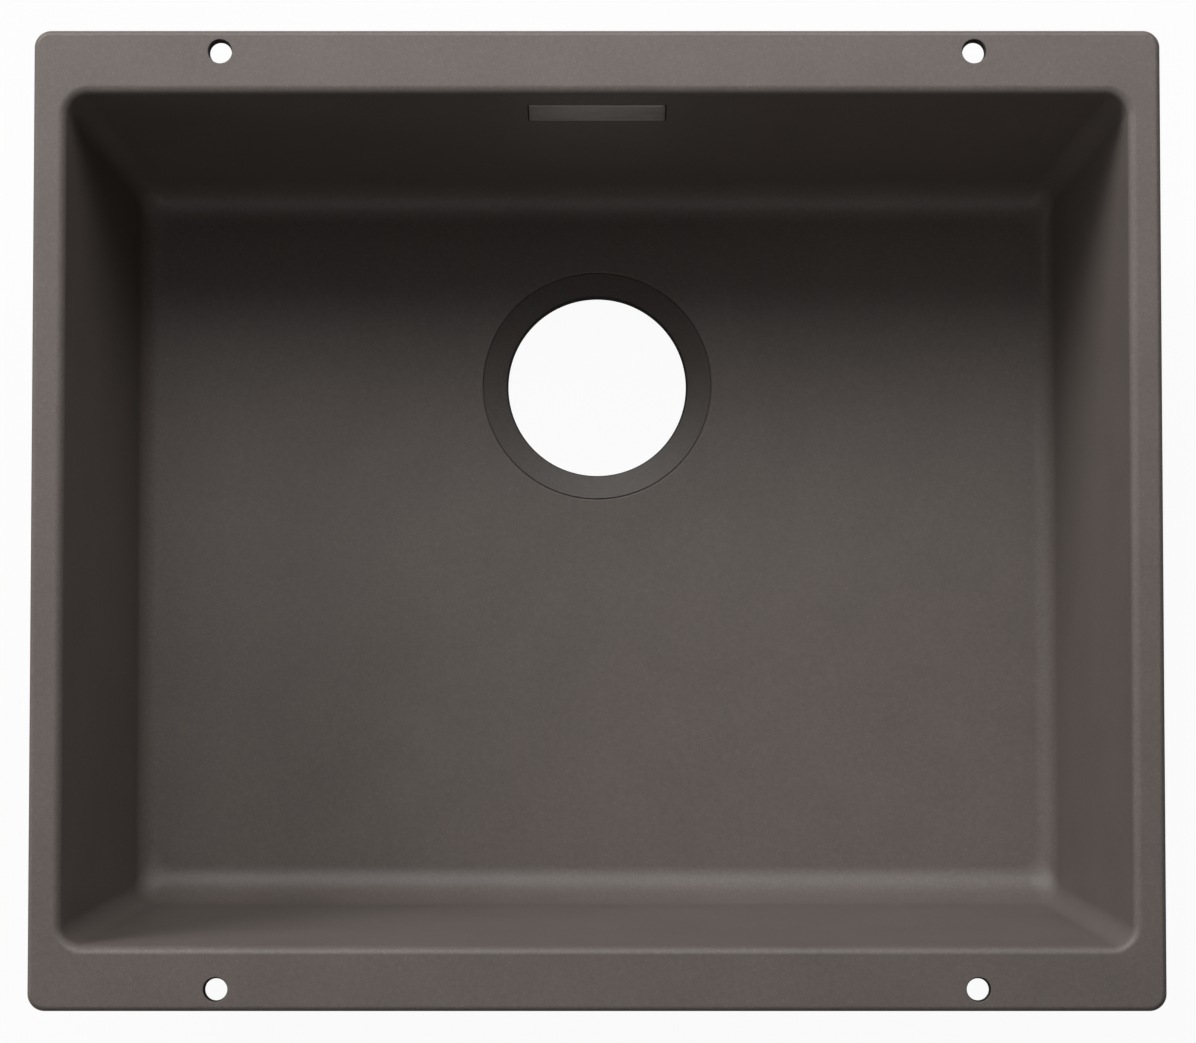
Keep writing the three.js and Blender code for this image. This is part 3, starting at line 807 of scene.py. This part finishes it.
def applyFinish(tree, shader, look, brightness, rough, relief):
    # the colour times its brightness, the roughness, and the relief as a bump
    color = vectorMath(tree, "SCALE", {0: look["color"], "Scale": brightness})[0]
    bump = addNode(tree, "ShaderNodeBump", {"Strength": look["bumpStrength"],
                                            "Distance": look["bumpDepth"] * mm, "Height": relief})[0]
    for socket, value in (("Base Color", color), ("Roughness", rough), ("Normal", bump)):
        tree.links.new(value, shader.inputs[socket])


compositeLook = {
    "color": (0.1465, 0.123, 0.1115), "roughness": 0.5, "roughSpread": 0.05, "specular": 0.5,
    "grainSize": 0.5, "grain": 0.32, "grainSpan": (0.25, 0.75), "grainDetail": 3.0, "grainBreak": 0.7,
    "clumpSize": 2.2, "clump": 0.06, "mottleSize": 35, "mottle": 0.04,
    "speckSize": 0.9, "speckShare": 0.1, "speckSpan": (0.25, 0.42), "speck": 0.3,
    "outsideRoughness": 0.2, "outsideShade": 1.06,
    "groundShade": 0.69, "groundMark": 0.05, "groundMarkSize": 0.8, "groundRelief": 1.5,
    # the bored holes' walls get a painted shade in their colour; their extra roughness is their own
    "boredPaintedShade": 0.15, "boredRoughness": 0.4,
    "bumpStrength": 0.3, "bumpDepth": 0.04,
}


def roundDrain(tree, place, size):
    # noise that changes only with the distance from the drain's middle
    centred = vectorMath(tree, "SUBTRACT", {0: place, 1: (0, drainY * mm, 0)})[0]
    flat = vectorMath(tree, "MULTIPLY", {0: centred, 1: (1, 1, 0)})[0]
    away = vectorMath(tree, "LENGTH", {0: flat})["Value"]
    return addNode(tree, "ShaderNodeTexNoise", {"W": away, "Scale": 1 / (size * mm)},
                   noise_dimensions="1D")["Fac"]


def compositeMaterial():
    # quartz-filled acrylic: fine warm-grey grain with paler specks, duller outside than in, and painted
    # shade darkening the bored holes' walls
    look = compositeLook
    material, tree, shader = newMaterial("graniteComposite", look)
    place = objectPlace(tree)
    grain = noise(tree, place, 1 / (look["grainSize"] * mm), look["grainDetail"], look["grainBreak"])
    clumps, mottle = (noise(tree, place, 1 / (look[size] * mm)) for size in ("clumpSize", "mottleSize"))
    cells = addNode(tree, "ShaderNodeTexVoronoi", {"Vector": place, "Scale": 1 / (look["speckSize"] * mm)})
    cellTone = addNode(tree, "ShaderNodeSeparateColor", {0: cells["Color"]})[0]
    chosen = arithmetic(tree, "LESS_THAN", cellTone, look["speckShare"])
    core = spread(tree, cells["Distance"], *look["speckSpan"], look["speck"], 0.0)
    specks = arithmetic(tree, "MULTIPLY_ADD", chosen, core, 1.0)

    outside, ground, bored = (addNode(tree, "ShaderNodeAttribute", {}, attribute_name=mask)["Fac"]
                              for mask in ("outside", "ground", "bored"))
    marks = product(tree, roundDrain(tree, place, look["groundMarkSize"]), ground)
    brightness = product(tree, varied(tree, grain, 1, look["grain"], *look["grainSpan"]),
                         varied(tree, clumps, 1, look["clump"]), varied(tree, mottle, 1, look["mottle"]),
                         spread(tree, outside, 0, 1, 1, look["outsideShade"]),
                         spread(tree, ground, 0, 1, 1, look["groundShade"]),
                         # painted shade: the bored holes' walls are drawn much darker than the rest of the
                         # moulding
                         spread(tree, bored, 0, 1, 1, look["boredPaintedShade"]), specks,
                         spread(tree, marks, 0, 1, 1 + look["groundMark"], 1 - look["groundMark"]))
    rough = varied(tree, grain, look["roughness"], look["roughSpread"])
    rough = arithmetic(tree, "MULTIPLY_ADD", outside, look["outsideRoughness"], rough)
    rough = arithmetic(tree, "MULTIPLY_ADD", bored, look["boredRoughness"], rough)
    relief = arithmetic(tree, "MULTIPLY_ADD", marks, look["groundRelief"], grain)
    applyFinish(tree, shader, look, brightness, rough, relief)
    return material


def patternedMaterial(name, look):
    # tone, roughness and height follow one noise; its grains have a size along X and one across it
    material, tree, shader = newMaterial(name, look)
    along, over = (1 / (size * mm) for size in look["grain"])
    pattern = noise(tree, objectPlace(tree, (along, over, over)), 1.0, look["detail"], look["break"])
    tone = varied(tree, pattern, 1, look["tone"])
    rough = varied(tree, pattern, look["roughness"], look["roughSpread"])
    applyFinish(tree, shader, look, tone, rough, pattern)
    return material


brushedLook = {"color": (0.61, 0.561, 0.528), "metallic": 1.0, "roughness": 0.34, "roughSpread": 0.11,
               "grain": (30, 0.3), "detail": 3.0, "break": 0.6, "tone": 0.17, "bumpStrength": 0.25,
               "bumpDepth": 0.01}
springLook = {"color": (0.6, 0.59, 0.575), "metallic": 1.0, "roughness": 0.24, "roughSpread": 0.06,
              "grain": (12, 0.15), "detail": 3.0, "break": 0.6, "tone": 0.06, "bumpStrength": 0.15,
              "bumpDepth": 0.008}
frameSteelLook = {"color": (0.53, 0.525, 0.515), "metallic": 1.0, "roughness": 0.42, "roughSpread": 0.08,
                  "grain": (18, 0.3), "detail": 3.0, "break": 0.6, "tone": 0.08, "bumpStrength": 0.2,
                  "bumpDepth": 0.01}
screwSteelLook = {"color": (0.58, 0.575, 0.56), "metallic": 1.0, "roughness": 0.3, "roughSpread": 0.08,
                  "grain": (1.2, 1.2), "detail": 4.0, "break": 0.6, "tone": 0.07, "bumpStrength": 0.1,
                  "bumpDepth": 0.01}
brassLook = {"color": (0.62, 0.43, 0.17), "metallic": 1.0, "roughness": 0.33, "roughSpread": 0.1,
             "grain": (1.8, 1.8), "detail": 4.0, "break": 0.6, "tone": 0.12, "bumpStrength": 0.15,
             "bumpDepth": 0.01}
rubberLook = {"color": (0.022, 0.022, 0.023), "roughness": 0.78, "roughSpread": 0.08, "specular": 0.35,
              "grain": (0.7, 0.7), "detail": 3.0, "break": 0.6, "tone": 0.2, "bumpStrength": 0.3,
              "bumpDepth": 0.03}
plasticLook = {"color": (0.03, 0.03, 0.032), "roughness": 0.5, "roughSpread": 0.07, "specular": 0.5,
               "grain": (0.35, 0.35), "detail": 2.0, "break": 0.6, "tone": 0.14, "bumpStrength": 0.35,
               "bumpDepth": 0.03}

composite = compositeMaterial()
brushedSteel = patternedMaterial("brushedSteel", brushedLook)
springSteel = patternedMaterial("springSteel", springLook)
frameSteel = patternedMaterial("frameSteel", frameSteelLook)
screwSteel = patternedMaterial("screwSteel", screwSteelLook)
insertBrass = patternedMaterial("insertBrass", brassLook)
sealRubber = patternedMaterial("sealRubber", rubberLook)
housingPlastic = patternedMaterial("housingPlastic", plasticLook)
print("materials made")


def dress(piece, material, body, node):
    piece.data.materials.clear()
    piece.data.materials.append(material)
    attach(piece, body)
    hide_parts(node)


dress(bowl, composite, "bowl", "sink_bowl")
dress(makeCover(), brushedSteel, "cover", "overflow_cover")
print("cover made")
dress(makeFrame(), frameSteel, "bowl", "overflow_frame")
dress(makeGasket(), sealRubber, "bowl", "overflow_gasket")
dress(makeHousing(ribTree(), housingPlastic), housingPlastic, "bowl", "overflow_housing")
print("frame, gasket and housing made")
machineScrew, knurledInsert = screwTree(), insertTree()
for side in ("left", "right"):
    end = side.capitalize()
    clip = makeClip("coverClip" + end, "cover_clip_" + side)
    dress(clip, springSteel, "cover", "cover_clip_" + side)
    screw = makeScrew("overflowScrew" + end, "overflow_screw_" + side, machineScrew, screwSteel)
    dress(screw, screwSteel, "bowl", "overflow_screw_" + side)
    insert = makeInsert("overflowInsert" + end, "overflow_insert_" + side, knurledInsert, insertBrass)
    dress(insert, insertBrass, "bowl", "overflow_insert_" + side)
print("clips, screws and inserts made")


cameraLook = {"footX": 0.45, "footY": -166, "height": 2381, "scale": 2.138, "aimY": -1.9,
              "imageWidth": 1196, "sensor": 36, "near": 50, "far": 50000}


def makeCamera():
    # stands over the front half of the bowl and leans back to look down at the middle of the rim
    look = cameraLook
    data = bpy.data.cameras.new("photoCamera")
    camera = linkObject(data)
    lean, height = look["aimY"] - look["footY"], look["height"]
    camera.location = Vector((look["footX"], look["footY"], rimTop + height)) * mm
    camera.rotation_euler = (math.atan2(lean, height), 0, 0)
    data.sensor_width = look["sensor"]
    data.lens = look["scale"] * math.hypot(lean, height) * look["sensor"] / look["imageWidth"]
    data.clip_start, data.clip_end = look["near"] * mm, look["far"] * mm
    bpy.context.scene.camera = camera


# what shows the background's white: the camera, glass, and at a share of it anything glossy
backgroundLook = {"mirrored": 0.06}


def whiteSeen(tree):
    path = addNode(tree, "ShaderNodeLightPath", {})
    straight = arithmetic(tree, "MAXIMUM", path["Is Camera Ray"], path["Is Transmission Ray"])
    mirrored = product(tree, path["Is Glossy Ray"], backgroundLook["mirrored"])
    return arithmetic(tree, "MAXIMUM", straight, mirrored)


floorLook = {"halfSize": 6000, "below": 0.4, "color": (0.72, 0.72, 0.71), "roughness": 0.9,
             "whiteShare": 0.95}


def makeFloor():
    # pale, and nearly white to the camera, with the sink's own shadow left on it
    look = floorLook
    half, level = look["halfSize"], bowlLow.z - look["below"]
    corners = [(-half, -half, level), (half, -half, level), (half, half, level), (-half, half, level)]
    floor = linkObject(meshFrom("floor", corners, [(0, 1, 2, 3)]))
    material, tree, shader = newMaterial("paleFloor", look)
    white = product(tree, whiteSeen(tree), look["whiteShare"])
    glow = addNode(tree, "ShaderNodeEmission", {})[0]
    mix = addNode(tree, "ShaderNodeMixShader", {0: white, 1: shader.outputs[0], 2: glow})[0]
    tree.links.new(mix, tree.nodes["Material Output"].inputs["Surface"])
    floor.data.materials.append(material)


worldLook = {"ambient": 0.02}


def makeWorld():
    # white where the camera looks past the floor, and dim as a light
    world = bpy.data.worlds.new("studio")
    bpy.context.scene.world = world
    world.use_nodes = True
    tree = world.node_tree
    background = tree.nodes["Background"]
    background.inputs["Color"].default_value = (1, 1, 1, 1)
    strength = arithmetic(tree, "MAXIMUM", whiteSeen(tree), worldLook["ambient"])
    tree.links.new(strength, background.inputs["Strength"])


# each lamp's azimuth and elevation in degrees, distance and size in metres, and power in watts
lampLook = {
    "backLamp": (105, 52, 2.2, 1, 17.4),
    "backLeftLamp": (135, 30, 2.2, 1, 23.6),
    "nearLamp": (70, 40, 1.1, 0.7, 2.9),
    "highLamp": (75, 66, 2.2, 1, 2.3),
    "leftLamp": (180, 20, 2.2, 1, 4.9),
    "frontLamp": (270, 38, 2.2, 1, 3.6),
}
lampAim = Vector((0, 0, 150))


def makeLamps():
    # round lamps, all turned to one point inside the bowl
    for name, (azimuth, elevation, distance, size, power) in lampLook.items():
        data = bpy.data.lights.new(name, "AREA")
        data.shape, data.size, data.energy = "DISK", size, power
        lamp = linkObject(data)
        turn, lift = math.radians(azimuth), math.radians(elevation)
        way = Vector((math.cos(turn) * math.cos(lift), math.sin(turn) * math.cos(lift), math.sin(lift)))
        lamp.location = lampAim * mm + way * distance
        lamp.rotation_mode = "QUATERNION"
        lamp.rotation_quaternion = (-way).to_track_quat("-Z", "Y")


makeCamera()
makeFloor()
makeWorld()
makeLamps()
bpy.context.scene.view_settings.view_transform = "Standard"
print("studio made")
